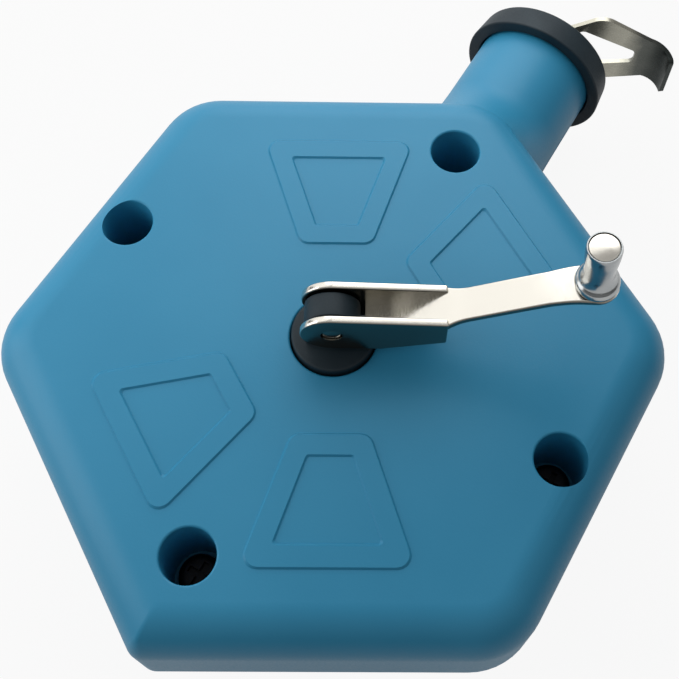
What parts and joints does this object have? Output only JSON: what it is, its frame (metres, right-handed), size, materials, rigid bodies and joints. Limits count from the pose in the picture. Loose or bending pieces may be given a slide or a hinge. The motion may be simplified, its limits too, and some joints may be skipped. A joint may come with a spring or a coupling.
{
  "type": "chalk line reel",
  "caption": "Hexagonal chalk line reel: two-shell case with filler neck and cap, a line spool turned by a folding crank, and a stamped hook on the line's end.",
  "frame": {"origin": "on the spool axis, at the case's flat back face", "axes": "+Z along the spool axis out of the front face, +Y along the filler neck, +X to the right seen from the front"},
  "size_m": [0.104, 0.1578, 0.0718],
  "materials": {
    "case": "satin moulded blue plastic",
    "black_plastic": "matte black moulded plastic",
    "spool_plastic": "natural moulded plastic",
    "bright_steel": "nickel plated sheet and turned steel",
    "stamped_steel": "plated stamped steel",
    "zinc_steel": "zinc plated fasteners",
    "black_steel": "black finished screws",
    "rubber": "black rubber",
    "felt": "pressed felt",
    "line": "twisted cotton line"
  },
  "bodies": {
    "case": {"front_shell": "case", "back_shell": "case", "case_screw_1": "black_steel", "case_screw_2": "black_steel", "case_screw_3": "black_steel", "case_screw_4": "black_steel", "rear_bush": "black_plastic", "hub_seal": "felt", "line_run": "line"},
    "reel": {"spool": "spool_plastic", "line_winding": "line", "crank_hub": "black_plastic", "hub_screw": "zinc_steel", "hub_washer": "zinc_steel"},
    "crank": {"crank_arm": "bright_steel", "crank_pin": "bright_steel", "knob_rivet": "bright_steel"},
    "knob": {"knob_sleeve": "bright_steel"},
    "cap": {"neck_cap": "black_plastic", "cap_seal_ring": "rubber", "line_wiper": "felt", "wiper_retainer": "zinc_steel"},
    "line": {"line_end": "line", "hook_ring": "stamped_steel"},
    "hook": {"hook": "stamped_steel"}
  },
  "joints": [
    {"name": "reel_spin", "type": "hinge", "parent": "case", "child": "reel", "pos_m": [0, 0, 0], "axis": [0, 0, 1], "continuous": true},
    {"name": "crank_fold", "type": "hinge", "parent": "reel", "child": "crank", "pos_m": [0, 0, 0.0472], "axis": [0.5, -0.866, 0], "range_deg": [0, 155]},
    {"name": "knob_spin", "type": "hinge", "parent": "crank", "child": "knob", "pos_m": [0.03568, 0.0206, 0.06005], "axis": [-0.0679, -0.0392, 0.9969], "continuous": true},
    {"name": "cap_pull", "type": "slide", "parent": "case", "child": "cap", "axis": [0, 1, 0], "range_m": [0, 0.014]},
    {"name": "line_pull", "type": "slide", "parent": "cap", "child": "line", "axis": [0, 1, 0], "range_m": [0, 0.015]},
    {"name": "hook_swing", "type": "hinge", "parent": "line", "child": "hook", "pos_m": [0.00139, 0.09045, 0.0196], "axis": [0, 0, 1], "range_deg": [0, 136]}
  ]
}
